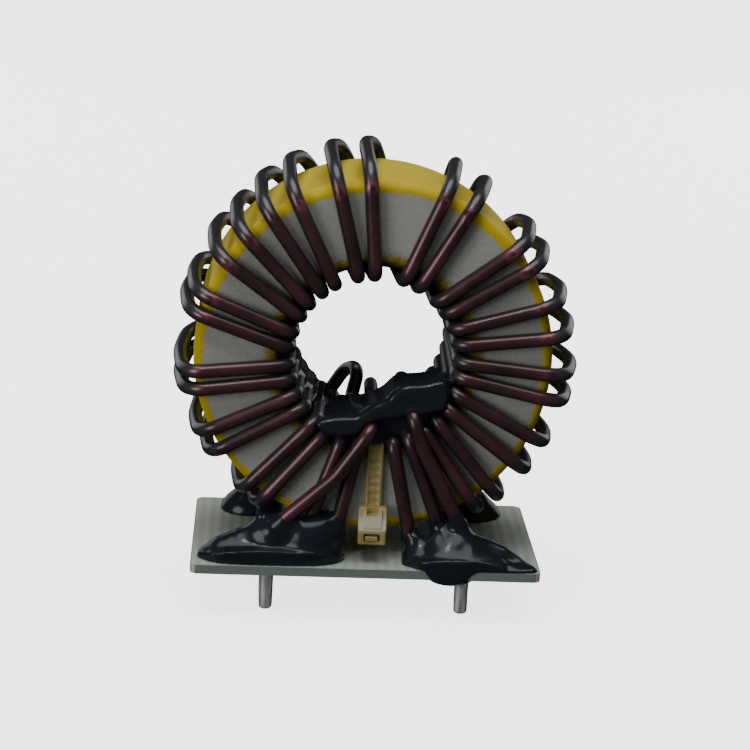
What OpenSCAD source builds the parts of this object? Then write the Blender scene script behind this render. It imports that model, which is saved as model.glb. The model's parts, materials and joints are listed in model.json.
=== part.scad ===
// Toroidal inductor: a powder core stood on edge on a small glass-epoxy board,
// wound with two strands of enamelled copper wire laid side by side, held by a
// cable tie and by drops of black adhesive. The four wire ends pass through the
// board and are tinned, and serve as its pins.
// Frame: origin at the middle of the four pins, on the underside of the board,
// +Z up. The painted face of the core looks along -Y.

/* [Core] */
// Outer diameter of the coated powder core
core_od = 46.7; // [46:0.1:48]
// Bore of the coated powder core
core_id = 24.1; // [23.8:0.1:26]
// Height of the core along its own axis
core_height = 18; // [16:0.5:19]
// Rounding of the core's four rims
core_edge = 1.2; // [0.8:0.1:1.5]
// Room between the top of the board and the lowest point of the core
core_lift = 3.8; // [3.7:0.1:5]

/* [Winding] */
// Diameter of the wire over its enamel
wire_d = 1.88; // [1.6:0.02:1.9]
// Thickness of the enamel
enamel_t = 0.04; // [0.02:0.01:0.06]
// Bare part of the bore between the first and the last line, in degrees
bore_gap_angle = 22.5; // [22:0.5:24]
// Turn of a wire about the core while it crosses the outside, in degrees
rim_turn = 2; // [1:0.5:4]
// Turn of a wire about the core while it crosses the bore, in degrees
bore_turn = 7.5; // [6.5:0.5:8]
// Bend of the wire over the rims of the bore, to its middle line
inner_bend = 1.7; // [1.5:0.1:1.9]
// Bend of the wire over the outer rims, to its middle line
outer_bend = 2.4; // [2:0.1:2.8]
// Bend of the loose leads, to their middle line
lead_bend = 2; // [1.6:0.1:2.4]

/* [Board] */
// Width of the board
board_width = 46; // [45:0.5:60]
// Depth of the board
board_depth = 28; // [28:0.5:40]
// Thickness of the board
board_t = 1.2; // [0.8:0.1:2]
// Rounding of the board's corners
board_corner = 1.1; // [0.5:0.1:3]

/* [Pins] */
// Distance between the pins from left to right
pin_spacing_x = 26; // [25:0.5:27]
// Distance between the pins from front to back
pin_spacing_y = 19; // [18.5:0.5:20]
// Length of the pins below the board
pin_length = 6.2; // [3:0.1:10]
// Thickness of the tin on the pins
tin_t = 0.07; // [0.05:0.01:0.1]
// How far the tin reaches up into the holes in the board
tin_reach = 0.08; // [0.04:0.01:0.1]
// Play of an enamelled wire in its hole in the board, across the diameter
hole_play = 0.3; // [0.2:0.05:0.5]

/* [Cable tie] */
// Width of the strap
strap_width = 2.1; // [1.6:0.1:2.2]
// Thickness of the strap
strap_t = 1; // [0.8:0.05:1.05]
// Width of the head
head_width = 3.7; // [3:0.1:3.8]
// Height of the head
head_height = 4.7; // [4.2:0.1:5]
// Depth of the head in front of the strap
head_depth = 2.2; // [1.8:0.1:2.6]
// Place of the strap to the right of the middle, halfway through the core
tie_x = 1.15; // [1.05:0.05:1.25]
// Turn of the tie about the vertical, in degrees
tie_angle = 2.4; // [1.5:0.1:3]

/* [Adhesive] */
// Width of the front drops on the board
front_drop_width = 18.5; // [16:0.5:19]
// Depth of the front drops on the board
front_drop_depth = 9.2; // [8:0.1:10]
// Height of the front drops above the board
front_drop_height = 5.6; // [4:0.1:6]
// Width of the rear drops on the board
rear_drop_width = 13.4; // [12:0.2:15]
// Depth of the rear drops on the board
rear_drop_depth = 8.2; // [7:0.1:9]
// Height of the rear drops above the board
rear_drop_height = 4.2; // [3:0.1:5]
// Depth of the pool in the bore, over the first layer of wire
pool_depth = 2.5; // [2:0.1:3]
// Room left between the adhesive and what it holds
glue_gap = 0.02; // [0.01:0.01:0.04]

/* [Hidden] */
$fn = 64;

// ---------- sizes that follow from the ones above ----------
turns = 15;
lines = 2 * turns;
// the least room between the wire and the core, and between two wires
lay = 0.08;
wire_r = wire_d / 2;
bare_d = wire_d - 2 * enamel_t;
core_z = board_t + core_lift + core_od / 2;
// middle lines of the wire where it lies on the core, and one layer further out
bore_r = core_id / 2 - lay - wire_r;
rim_r = core_od / 2 + lay + wire_r;
face_y = core_height / 2 + lay + wire_r;
layer = wire_d + lay;
bore_r2 = bore_r - layer;
face_y2 = face_y + layer;
pin_x = pin_spacing_x / 2;
pin_y = pin_spacing_y / 2;
// the strap's flat face clears the core's, though it is turned a little
tie_gap = 0.02;
strap_half = core_height / 2 + strap_width / 2 * sin(tie_angle) + tie_gap;

// ---------- how the lines of wire were laid ----------
// Line 0 lies just left of the cable tie and line 29 just right of it. Strand a
// holds the even lines and strand b the odd ones. Angles are in degrees,
// clockwise from the top of the core, as seen from the front.
first_angle = -172.5;
line_pitch = (360 - bore_gap_angle) / (lines - 1);
// by which a line's inner end strays from an even pitch
inner_stray = [0, 0, -0.5, -1.5, -1, -2, -3, -4, -4, -5, -4.5, -6, -6, -7.5, -3, -3.5,
               4.5, 4, 8, 6.5, 6.5, 6, 6, 4.5, 4, 3.5, 2.5, 1.5, 0.5, 0];
// by which its outer end lies clockwise of its inner end
outer_lean = [2.5, 0, 5.5, 1.5, 4.5, 1, 4.5, -0.5, 7, 2.5, 3.5, 3.5, 2, 1.5, -1, -2,
              2.5, 0.5, 4.5, 2, 4, 3, 3.5, 1.5, 4, 3, 4, 0.5, 3, 1.5];
// height to which its loop springs clear of the outside of the core, in wires
loop_spring = [0.65, 0.65, 0.65, 0.5, 0.6, 0.65, 0.75, 0.6, 0.6, 0.55, 0.75, 0.75, 1.15,
               1.35, 1.4, 1.35, 1.1, 1.05, 1, 0.95, 1, 1.1, 1.4, 1.45, 1.2, 1.2, 1.2,
               0.8, 0.65, 0.65];
// and by which it crosses the outside more or less steeply than most
rim_stray = [2, 2, 0, -0.5, -0.5, -1, 0, 0, -0.8, -0.8, 0.5, 0, 1.2, 1.6, -0.6, -0.4,
             2, 3, 0, 0.2, -0.4, -0.8, -0.8, 0, 0, 0, 0, 0, 2, 1];
// the first lines cross the bore straighter, beside the tie
first_bore_turns = [4.2, 5.8, 6.6, 7.2];

function inner_angle(n) = first_angle + n * line_pitch + inner_stray[n];
function outer_angle(n) = inner_angle(n) + outer_lean[n];
function over_rim(n) = rim_turn + rim_stray[n];
function over_bore(n) = n < len(first_bore_turns) ? first_bore_turns[n] : bore_turn;

// a corner of the wire's path at an angle and a radius about the core's axis
function at(angle, r, y, bend) =
    [r * sin(angle), y, core_z + r * cos(angle), bend];
function rear_corner(n) = at(inner_angle(n) - over_bore(n), bore_r, face_y, inner_bend);

// corners of one turn, from the front of the bore out along the front face,
// over the outside in a sprung loop, and down to the rear face
function turn(n, rear_y = face_y) =
    let (rise = wire_d * loop_spring[n], r = rim_r + rise / 4) [
        at(inner_angle(n), bore_r, -face_y, inner_bend),
        at(outer_angle(n), r, -face_y, outer_bend),
        at(outer_angle(n) + over_rim(n) / 2, rim_r + rise, 0, 4 * outer_bend),
        at(outer_angle(n) + over_rim(n), r, rear_y, outer_bend)];
function later_turns(strand) = [
    for (n = [strand + 2 : 2 : lines - 1])
        each concat([rear_corner(n)], turn(n, n == lines - 2 ? face_y2 : face_y))];

// ---------- the four leads ----------
core_r = core_od / 2;
lead_top = board_t + lead_bend;
strap_pass = strap_half + strap_t + wire_r + 2 * lay;
// strand a rises from the rear right pin, under the last turns and over the tie
lead_in_a = [
    [pin_x, pin_y, lead_top, lead_bend],
    at(157.6, 0.955 * core_r, face_y, lead_bend),
    at(161, 0.82 * core_r, face_y, lead_bend),
    at(166.3, 0.685 * core_r, strap_pass, lead_bend),
    at(first_angle - over_bore(0), bore_r, strap_pass, inner_bend)];
// and ends over lines 24 to 27, in a second layer through the bore
lead_out_a = [
    at(143, bore_r2, face_y2, inner_bend),
    at(141.6, bore_r2 - 0.35 * wire_d, -face_y2, inner_bend),
    at(148.6, 0.54 * core_r, 0.15 * wire_d - face_y2, 3 * lead_bend),
    at(150.8, rim_r + 0.1 * wire_d, -face_y - 0.2 * wire_d, lead_bend),
    [pin_x, -pin_y, lead_top, lead_bend]];
// strand b rises from the rear left pin over lines 0 to 3, stands clear of the
// bore's rear rim in an arch, and drops into the bore between lines 0 and 2
lead_in_b = [
    [-pin_x, pin_y, lead_top, lead_bend],
    [-pin_x + 0.6 * wire_d, face_y2 + lay, lead_top + 2 * wire_d, lead_bend],
    at(-157.8, 0.328 * core_r, face_y2 + lay, lead_bend),
    at(-170, 0.248 * core_r, face_y2 - 1.8 * wire_d, inner_bend),
    at(inner_angle(1) - 5, bore_r, face_y - 1.4 * wire_d, inner_bend)];
// and ends over the tie, in a second layer that crosses lines 0 and 1
lead_out_b = [
    at(173.3, 0.587 * core_r, strap_pass + layer + 2 * lay, 3 * lead_bend),
    at(175, bore_r2, strap_pass + layer, inner_bend),
    at(179.5, bore_r2 - 0.2 * wire_d, -face_y2, inner_bend),
    at(196, 0.68 * core_r, -face_y2, 4 * lead_bend),
    at(208, rim_r + 0.1 * wire_d, -face_y2, lead_bend),
    [-pin_x, -pin_y, lead_top, lead_bend]];

// ---------- wire swept along its corners ----------
wire_sides = 8;
function unit(v) = v / norm(v);
function xyz(p) = [p.x, p.y, p.z];

// points of the arc that rounds corner b, between its neighbours a and c
function arc_points(a, b, c, bend) =
    let (din = unit(b - a), dout = unit(c - b),
         angle = acos(max(-1, min(1, din * dout))),
         cut = min(bend * tan(angle / 2), 0.48 * norm(b - a), 0.48 * norm(c - b)))
    angle < 2 ? [b] :
    let (r = cut / tan(angle / 2),
         side = unit(dout - (din * dout) * din),
         steps = angle < 34 ? 1 : angle < 62 ? 2 : 3)
    [for (i = [0 : steps]) let (f = angle * i / steps)
        b - cut * din + r * (sin(f) * din + (1 - cos(f)) * side)];

function round_corners(path) = let (last = len(path) - 1) concat(
    [xyz(path[0])],
    [for (i = [1 : last - 1])
        each arc_points(xyz(path[i - 1]), xyz(path[i]), xyz(path[i + 1]), path[i][3])],
    [xyz(path[last])]);

function tangents(p) = let (last = len(p) - 1)
    [for (i = [0 : last])
        i == 0 ? unit(p[1] - p[0]) :
        i == last ? unit(p[last] - p[last - 1]) :
        unit(unit(p[i] - p[i - 1]) + unit(p[i + 1] - p[i]))];

// carries one sideways direction along the wire without twisting it
function level(v, t) = unit(v - (v * t) * t);
function side_directions(t) =
    [for (i = 0, v = level([0.3, 1, 0.2], t[0]);
          i < len(t);
          i = i + 1, v = level(v, t[min(i, len(t) - 1)])) v];

// a wire through the points
module swept_wire(points, d) {
    t = tangents(points);
    u = side_directions(t);
    last = len(points) - 1;
    s = wire_sides;
    rings = [for (i = [0 : last]) let (w = cross(t[i], u[i]))
        for (j = [0 : s - 1]) let (a = 360 * j / s)
            points[i] + d / 2 * (cos(a) * u[i] + sin(a) * w)];
    skin = [for (i = [0 : last - 1], j = [0 : s - 1])
        let (a = i * s + j, b = i * s + (j + 1) % s)
            each [[a, a + s, b], [b, a + s, b + s]]];
    start_cap = [for (j = [0 : s - 1]) j];
    end_cap = [for (j = [s - 1 : -1 : 0]) last * s + j];
    polyhedron(rings, concat([start_cap], skin, [end_cap]));
}

// ---------- core ----------
module core() {
    color("#d9a520") translate([0, 0, core_z]) rotate([90, 0, 0])
        rotate_extrude() core_section();
}

// half of the core's section, its four corners rounded
module core_section() {
    width = (core_od - core_id) / 2;
    translate([core_id / 2, 0]) rounded_section(width, core_height, core_edge);
}

// a rectangle with rounded corners: its left side on x = 0, centred on y = 0
module rounded_section(width, height, corner) {
    translate([0, corner - height / 2]) square([width, height - 2 * corner]);
    translate([corner, -height / 2]) square([width - 2 * corner, height]);
    for (x = [corner, width - corner], y = [corner - height / 2, height / 2 - corner])
        translate([x, y]) circle(corner);
}

// ---------- board ----------
module base_board() {
    color("#7f8a70") difference() {
        linear_extrude(board_t) translate([-board_width / 2, 0])
            rounded_section(board_width, board_depth, board_corner);
        for (x = [-pin_x, pin_x], y = [-pin_y, pin_y])
            translate([x, y, -board_t]) cylinder(d = wire_d + hole_play, h = 3 * board_t);
    }
}

// ---------- winding ----------
// the enamel ends where the wire leaves the board, and the end below is tinned
tin_r = bare_d / 2 + tin_t;
wire_end = tin_reach / 2;
tip_round = 0.45;

module strand(start, corners, finish) {
    path = round_corners(concat([[start.x, start.y, wire_end, 0]], corners,
                                [[finish.x, finish.y, wire_end, 0]]));
    union() {
        swept_wire(path, wire_d);
        tinned_end(start);
        tinned_end(finish);
    }
}

module tinned_end(pin) {
    translate([pin.x, pin.y, -pin_length]) rotate_extrude() pin_section();
}

// half of the tinned end's section, its lower corner rounded
module pin_section() {
    height = tin_reach + pin_length;
    translate([0, tip_round]) square([tin_r, height - tip_round]);
    square([tin_r - tip_round, height]);
    translate([tin_r - tip_round, tip_round]) circle(tip_round);
}

module winding_strand_a() {
    color("#5a2630")
        strand([pin_x, pin_y], concat(lead_in_a, turn(0), later_turns(0), lead_out_a),
               [pin_x, -pin_y]);
}

module winding_strand_b() {
    color("#6a2c36")
        strand([-pin_x, pin_y], concat(lead_in_b, turn(1), later_turns(1), lead_out_b),
               [-pin_x, -pin_y]);
}

// ---------- cable tie ----------
strap_corner = core_edge + 0.4;
// half of the widest stretch that the strap covers across the bore
strap_reach = tie_x + strap_width / 2 + core_height / 2 * tan(tie_angle);
strap_floor = sqrt(pow(core_id / 2, 2) - pow(strap_reach, 2)) - tie_gap;
strap_under = core_od / 2 + tie_gap;
head_top = core_z - core_od / 2 + 0.78 * head_height;
rung_pitch = strap_t * 1.1;
rung_depth = 0.14 * strap_t;
rung_edge = 0.17 * strap_width;

module cable_tie() {
    color("#e4dcc4") translate([tie_x, 0, 0]) rotate([0, 0, -tie_angle]) difference() {
        union() {
            strap_loop();
            tie_head();
        }
        // the rungs of the strap, seen on the front above the head
        for (z = [head_top + rung_pitch : rung_pitch : core_z - strap_floor - 2 * strap_t])
            translate([rung_edge - strap_width / 2, -strap_half - 2 * strap_t, z])
                cube([strap_width - 2 * rung_edge, strap_t + rung_depth, rung_pitch / 2]);
        head_window();
    }
}

// the strap runs round the section of the core, flat on its faces
module strap_loop() {
    height = strap_under - strap_floor;
    translate([strap_width / 2, 0, core_z - strap_under]) rotate([0, -90, 0])
        linear_extrude(strap_width) difference() {
            translate([-strap_t, 0])
                rounded_section(height + 2 * strap_t, 2 * (strap_half + strap_t),
                                strap_corner + strap_t);
            rounded_section(height, 2 * strap_half, strap_corner - 0.6);
        }
}

// block of the head with a sloping front and the cut end of the strap in it
head_front = -strap_half - strap_t - head_depth;
head_bottom = head_top - head_height;
module tie_head() {
    back = -strap_half - 0.7 * strap_t;
    slope_y = head_front + 0.4 * head_depth;
    slope_z = head_top - 0.1 * head_height;
    foot = 0.08 * head_height;
    translate([-head_width / 2, 0, 0]) rotate([90, 0, 90]) linear_extrude(head_width)
        polygon([[back, head_bottom], [head_front + foot, head_bottom],
                 [head_front, head_bottom + foot], [head_front, head_top - 0.42 * head_height],
                 [slope_y, slope_z], [slope_y + foot, head_top], [back, head_top]]);
    translate([-strap_width / 2, head_front - strap_t / 2, head_bottom + strap_t / 2])
        cube([strap_width, strap_t, strap_t]);
}

// the mouth in the head's top and the slot over its pawl
module head_window() {
    mouth = 0.84 * strap_width;
    translate([-mouth / 2, head_front - strap_t, head_top - 0.23 * head_height])
        cube([mouth, strap_t + 0.6 * head_depth, head_height]);
    translate([-strap_width / 2, head_front - strap_t / 2, head_bottom + 0.42 * head_height])
        cube([strap_width, strap_t / 2 + 0.32 * head_depth, 0.15 * head_height]);
}

// ---------- adhesive ----------
// tubes a little wider than the wire, for it to lie in
groove_d = (wire_d + 2 * glue_gap) / cos(180 / wire_sides);
module groove(corners) {
    swept_wire(round_corners(corners), groove_d);
}
module turn_groove(n) {
    groove(concat(turn(n), [rear_corner(n + 2)]));
}
module core_room() {
    translate([0, 0, core_z]) rotate([90, 0, 0])
        cylinder(r = core_od / 2 + glue_gap, h = core_height + 2 * glue_gap, center = true);
}
module lead_room(x, y) {
    cylinder_top = lead_top + lead_bend / 2;
    translate([x, y, 0]) cylinder(d = groove_d, h = cylinder_top);
}

// a closed, rounded outline through a few points of a drop's edge
edge_steps = 3;
function spline(a, b, c, d, f) =
    (2 * b + (c - a) * f + (2 * a - 5 * b + 4 * c - d) * f * f
     + (3 * b - a - 3 * c + d) * f * f * f) / 2;
function rounded_outline(p) = let (n = len(p))
    [for (i = [0 : n - 1], k = [0 : edge_steps - 1])
        spline(p[i], p[(i + 1) % n], p[(i + 2) % n], p[(i + 3) % n], k / edge_steps)];

// how a drop slumps, from its foot to its top: shares of its reach and height
slump = [[1, 0], [0.97, 0.2], [0.86, 0.42], [0.64, 0.64], [0.38, 0.84], [0.16, 0.96]];
// a drop on the board about the wire at its highest point, with its edge in
// shares of the drop's size
module drop(pin, size, edge) {
    rim = rounded_outline(edge);
    n = len(rim);
    rings = [for (f = slump, p = rim)
        [pin.x + f[0] * p.x * size.x, pin.y + f[0] * p.y * size.y, board_t + f[1] * size.z]];
    last = (len(slump) - 1) * n;
    skin = [for (a = [0 : last - 1]) let (b = a % n < n - 1 ? a + 1 : a + 1 - n)
        each [[a, a + n, b], [b, a + n, b + n]]];
    base = [for (j = [0 : n - 1]) j];
    tip = [for (j = [0 : n - 1]) [last + j, last + n, last + (j + 1) % n]];
    polyhedron(concat(rings, [[pin.x, pin.y, board_t + size.z]]), concat([base], skin, tip));
}
front_drop = [front_drop_width, front_drop_depth, front_drop_height];
rear_drop = [rear_drop_width, rear_drop_depth, rear_drop_height];

module adhesive_front_left() {
    edge = [[-0.47, -0.16], [-0.31, -0.4], [-0.02, -0.46], [0.24, -0.47], [0.42, -0.41],
            [0.54, -0.01], [0.4, 0.4], [0.05, 0.54], [-0.29, 0.38], [-0.44, 0.08]];
    color("#181b26") difference() {
        drop([-pin_x, -pin_y], front_drop, edge);
        core_room();
        for (n = [0 : 3]) turn_groove(n);
        lead_room(-pin_x, -pin_y);
        groove([for (i = [2 : len(lead_out_b) - 1]) lead_out_b[i], [-pin_x, -pin_y, 0, 0]]);
    }
}

// the right drop has run over the front edge of the board
module adhesive_front_right() {
    edge = [[-0.41, -0.12], [-0.31, -0.41], [-0.14, -0.53], [0.03, -0.51], [0.24, -0.45],
            [0.5, -0.36], [0.47, 0.1], [0.3, 0.42], [-0.03, 0.54], [-0.31, 0.34]];
    to_edge = board_depth / 2 - pin_y - 0.38 * front_drop_depth;
    run = [0.12 * front_drop_width, max(to_edge, 0.1 * front_drop_depth), 1.1 * board_t];
    color("#181b26") difference() {
        union() {
            drop([pin_x, -pin_y], front_drop, edge);
            translate([pin_x - run.x, -board_depth / 2, 0.75 * board_t])
                scale(run) sphere(1, $fn = 20);
        }
        board_room();
        core_room();
        for (n = [26 : 27]) turn_groove(n);
        groove(last_turn_a);
        groove(last_turn_b);
        lead_room(pin_x, -pin_y);
        groove([for (i = [1 : len(lead_out_a) - 1]) lead_out_a[i], [pin_x, -pin_y, 0, 0]]);
    }
}
last_turn_a = concat(turn(lines - 2, face_y2), [lead_out_a[0]]);
last_turn_b = concat(turn(lines - 1), [lead_out_b[0]]);
// all that lies behind the front edge of the board and below its top
module board_room() {
    translate([-board_width, -board_depth / 2, -board_t])
        cube([2 * board_width, board_depth, 2 * board_t]);
}

module adhesive_rear_left() {
    edge = [[-0.51, 0.07], [-0.42, -0.28], [-0.23, -0.48], [0.15, -0.52], [0.43, -0.23],
            [0.48, 0.18], [0.25, 0.46], [-0.07, 0.5], [-0.39, 0.38]];
    color("#181b26") difference() {
        drop([-pin_x, pin_y], rear_drop, edge);
        core_room();
        for (n = [0 : 2]) turn_groove(n);
        lead_room(-pin_x, pin_y);
        groove([[-pin_x, pin_y, 0, 0], each [for (i = [0 : 2]) lead_in_b[i]]]);
    }
}

module adhesive_rear_right() {
    edge = [[-0.46, 0.18], [-0.42, -0.26], [-0.15, -0.52], [0.18, -0.44], [0.4, -0.32],
            [0.52, -0.04], [0.4, 0.35], [0.08, 0.5], [-0.24, 0.46]];
    color("#181b26") difference() {
        drop([pin_x, pin_y], rear_drop, edge);
        core_room();
        for (n = [26 : 27]) turn_groove(n);
        groove(last_turn_a);
        lead_room(pin_x, pin_y);
        groove([[pin_x, pin_y, 0, 0], each [for (i = [0 : 2]) lead_in_a[i]]]);
    }
}

// the pool lies on the first layer of wire in the lower part of the bore and
// closes over the wires of the second layer, where it is thickest
pool_bed = bore_r - wire_r - glue_gap - 0.03;
pool_from = 114;
pool_to = 222;
pool_front = -core_height / 2 - glue_gap;
pool_rear = core_height / 2 - glue_gap;
pool_edge = 0.1 * pool_depth;
pool_steps = 20;
pool_rows = 7;
// how its depth swells and falls along the bore's floor, by the angle
pool_swell = [[114, 0], [120, 0.7], [129, 1.25], [140, 1.65], [158, 1.55], [171, 1.3],
              [183, 1.1], [201, 0.75], [214, 0.5], [222, 0]];
function pool_top(i, k) =
    let (angle = pool_from + (pool_to - pool_from) * i / pool_steps,
         along = 2 * k / pool_rows - 1)
        pool_bed - pool_edge
            - pool_depth * lookup(angle, pool_swell) * (1 - pow(abs(along), 2.2));
module adhesive_bore() {
    n = pool_steps;
    m = pool_rows + 1;
    grid = [for (i = [0 : n], k = [0 : pool_rows])
        let (angle = pool_from + (pool_to - pool_from) * i / n,
             y = pool_front + (pool_rear - pool_front) * k / pool_rows)
            each [xyz(at(angle, pool_bed, y, 0)), xyz(at(angle, pool_top(i, k), y, 0))]];
    cells = [for (i = [0 : n - 1], k = [0 : pool_rows - 1])
        let (a = 2 * (i * m + k), b = a + 2 * m)
            each [[a, a + 2, b], [b, a + 2, b + 2],
                  [a + 1, b + 1, a + 3], [b + 1, b + 3, a + 3]]];
    ends = [for (k = [0 : pool_rows - 1]) let (a = 2 * k, b = 2 * (n * m + k))
        each [[a, a + 1, a + 3, a + 2], [b, b + 2, b + 3, b + 1]]];
    sides = [for (i = [0 : n - 1])
        let (a = 2 * i * m, b = a + 2 * m, c = a + 2 * pool_rows, d = b + 2 * pool_rows)
            each [[a, b, b + 1, a + 1], [c, c + 1, d + 1, d]]];
    color("#181b26") difference() {
        polyhedron(grid, concat(cells, ends, sides));
        groove([for (i = [0 : 3]) lead_out_a[i]]);
        groove([for (i = [0 : 3]) lead_out_b[i]]);
        groove([for (i = [2 : 4]) lead_in_b[i], turn(1)[0]]);
    }
}

core();
base_board();
winding_strand_a();
winding_strand_b();
cable_tie();
adhesive_bore();
adhesive_front_left();
adhesive_front_right();
adhesive_rear_left();
adhesive_rear_right();
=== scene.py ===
# %% [markdown]
# # A toroidal inductor
# A ring of pressed powder stands on edge on a small glass-epoxy board. Two
# strands of enamelled copper wire are wound round it side by side, a cable tie
# and drops of black adhesive hold everything, and the four stripped wire ends
# go through the board as pins. This lesson dresses the finished solids: the
# ring and the board keep theirs and get a finish, and the wires, the adhesive
# and the tie are made again here, finer, where the solids say they are.

# %% Loading the frame
import bpy
import json
import numpy as np
from math import radians, pi
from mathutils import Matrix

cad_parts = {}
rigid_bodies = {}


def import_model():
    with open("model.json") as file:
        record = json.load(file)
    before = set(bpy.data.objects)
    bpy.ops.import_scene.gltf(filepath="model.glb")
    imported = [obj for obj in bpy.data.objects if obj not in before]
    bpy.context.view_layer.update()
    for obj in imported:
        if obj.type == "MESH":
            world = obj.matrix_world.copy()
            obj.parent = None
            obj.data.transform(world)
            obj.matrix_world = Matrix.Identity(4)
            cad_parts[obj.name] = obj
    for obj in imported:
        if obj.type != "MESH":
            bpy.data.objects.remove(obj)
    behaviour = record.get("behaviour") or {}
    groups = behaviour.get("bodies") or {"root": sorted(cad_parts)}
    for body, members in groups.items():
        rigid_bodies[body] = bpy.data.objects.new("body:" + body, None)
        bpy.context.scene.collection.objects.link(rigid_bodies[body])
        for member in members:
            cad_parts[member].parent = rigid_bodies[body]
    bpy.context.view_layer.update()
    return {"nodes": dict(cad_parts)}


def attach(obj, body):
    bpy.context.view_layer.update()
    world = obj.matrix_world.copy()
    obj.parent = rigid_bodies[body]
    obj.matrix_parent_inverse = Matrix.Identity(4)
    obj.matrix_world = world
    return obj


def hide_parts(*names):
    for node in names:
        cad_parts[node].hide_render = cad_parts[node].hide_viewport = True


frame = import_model()
print("nodes in the frame:", sorted(frame["nodes"]))

# %% [markdown]
# ## Sizes
# Everything is worked out in millimetres, the unit a winder thinks in, and
# goes to metres only when a mesh is made. The sizes are those of the solids,
# so that each wire here lies where the solid wire lies.

# %% Sizes in millimetres
MM = 0.001
core_r, bore_wall, core_height = 23.35, 12.05, 18.0
board_t, core_lift = 1.2, 3.8
wire_d, lay = 1.88, 0.08
core_z = board_t + core_lift + core_r
wire_r = wire_d / 2
bore_r = bore_wall - lay - wire_r
rim_r = core_r + lay + wire_r
face_y = core_height / 2 + lay + wire_r
layer = wire_d + lay
pin_x, pin_y, pin_length = 13.0, 9.5, 6.2
strap_width, strap_t, strap_gap, tie_lean = 2.1, 1.0, 0.02, radians(2.4)
print("middle of the ring is", round(core_z, 2), "mm above the board's underside")


def as_array(points):
    return np.array(points, dtype=float)


def new_object(name, verts, faces, material, smooth=True):
    mesh = bpy.data.meshes.new(name)
    mesh.from_pydata((np.asarray(verts) * MM).tolist(), [], [list(f) for f in faces])
    mesh.validate()
    mesh.update()
    mesh.polygons.foreach_set("use_smooth", [smooth] * len(mesh.polygons))
    mesh.materials.append(material)
    obj = bpy.data.objects.new(name, mesh)
    bpy.context.scene.collection.objects.link(obj)
    return obj


# %% [markdown]
# ## Camera
# A long lens, a little above the part and almost square to its face. The
# camera is turned about its own axis by a couple of degrees, as a hand-held
# one is. The camera comes first, so that every piece can be judged through it.

# %% Camera
from mathutils import Vector, Matrix

azimuth, elevation, roll = radians(-3.016), radians(15.301), radians(2.646)
target = Vector((0.722, 0, 23.753)) * MM
distance = 305.55 * MM
back = Vector((np.sin(azimuth) * np.cos(elevation),
               -np.cos(azimuth) * np.cos(elevation), np.sin(elevation)))
level = Vector((0, 0, 1)).cross(back).normalized()
upright = back.cross(level)
right = level * np.cos(roll) + upright * np.sin(roll)
up = upright * np.cos(roll) - level * np.sin(roll)
camera_data = bpy.data.cameras.new("camera")
camera_data.sensor_width = 36
camera_data.lens = 109.56
camera_data.clip_start = 0.01
camera = bpy.data.objects.new("camera", camera_data)
camera.matrix_world = Matrix((
    (right.x, up.x, back.x, target.x + back.x * distance),
    (right.y, up.y, back.y, target.y + back.y * distance),
    (right.z, up.z, back.z, target.z + back.z * distance),
    (0, 0, 0, 1)))
bpy.context.scene.collection.objects.link(camera)
bpy.context.scene.camera = camera
print("camera at", [round(v, 3) for v in camera.matrix_world.translation], "m")

# %% [markdown]
# ## Floor and light
# Dark glossy wire is hard to light: it shows only what it reflects. A broad
# soft sun from above lights the tops of things. A large disc in front and well
# to the left fills the face and leaves the gaps between the wires dark. A
# narrow sun adds the small glints, and two weak lamps behind pick out the
# loops. The tent round it all is dark behind, which keeps the edges of the
# wires and the flat top of the adhesive dark. The floor glows a little, so that
# it stays pale out to its far end, and is kept out of the reflections.

# %% Lamps
lamp_aim = Vector((0, 0, 0.025))


def lamp(name, kind, place, power, **settings):
    data = bpy.data.lights.new(name, kind)
    data.energy = power
    for key, value in settings.items():
        setattr(data, key, value)
    obj = bpy.data.objects.new(name, data)
    obj.location = place
    obj.rotation_euler = (lamp_aim - Vector(place)).to_track_quat("-Z", "Y").to_euler()
    bpy.context.scene.collection.objects.link(obj)


lamp("overhead", "SUN", (0.0, -0.06, 0.60), 2.55, angle=radians(56))
lamp("front", "AREA", (-0.52, -0.47, 0.17), 2.4, shape="DISK", size=0.45)
lamp("glint", "SUN", (-0.14, -0.30, 0.60), 0.28, angle=radians(6))
for name, x in (("rear_left", -0.34), ("rear_right", 0.34)):
    lamp(name, "AREA", (x, 0.42, 0.14), 0.4, shape="DISK", size=0.4)
print("lamps:", sorted(data.name for data in bpy.data.lights))


# %% Helpers for materials
def new_material(name):
    material = bpy.data.materials.new(name)
    material.use_nodes = True
    tree = material.node_tree
    return material, tree, tree.nodes["Principled BSDF"]


def feed(tree, socket, value):
    """Links a socket to another node's output, or sets it to a constant."""
    if hasattr(value, "is_output"):
        tree.links.new(value, socket)
    else:
        socket.default_value = value


def feed_all(tree, node, **inputs):
    """Feeds the sockets of a node by name, with _ for the space in a name."""
    for key, value in inputs.items():
        feed(tree, node.inputs[key.replace("_", " ")], value)


def wired(tree, kind, **inputs):
    node = tree.nodes.new(kind)
    feed_all(tree, node, **inputs)
    return node


def object_place(tree):
    return tree.nodes.new("ShaderNodeTexCoord").outputs["Object"]


def noise(tree, place, scale, detail, **inputs):
    node = wired(tree, "ShaderNodeTexNoise", Vector=place, Scale=scale, Detail=detail, **inputs)
    return node.outputs["Fac"]


def tint(tree, value, first, second, start=0.0, end=1.0):
    """Goes from the first colour to the second while a value goes from start to end."""
    node = wired(tree, "ShaderNodeValToRGB", Fac=value)
    for element, position, colour in zip(node.color_ramp.elements, (start, end), (first, second)):
        element.position, element.color = position, (*colour, 1)
    return node.outputs["Color"]


def spread(tree, value, low, high):
    """Stretches a value of 0 to 1 over low to high."""
    node = wired(tree, "ShaderNodeMapRange", Value=value, To_Min=low, To_Max=high)
    return node.outputs["Result"]


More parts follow.
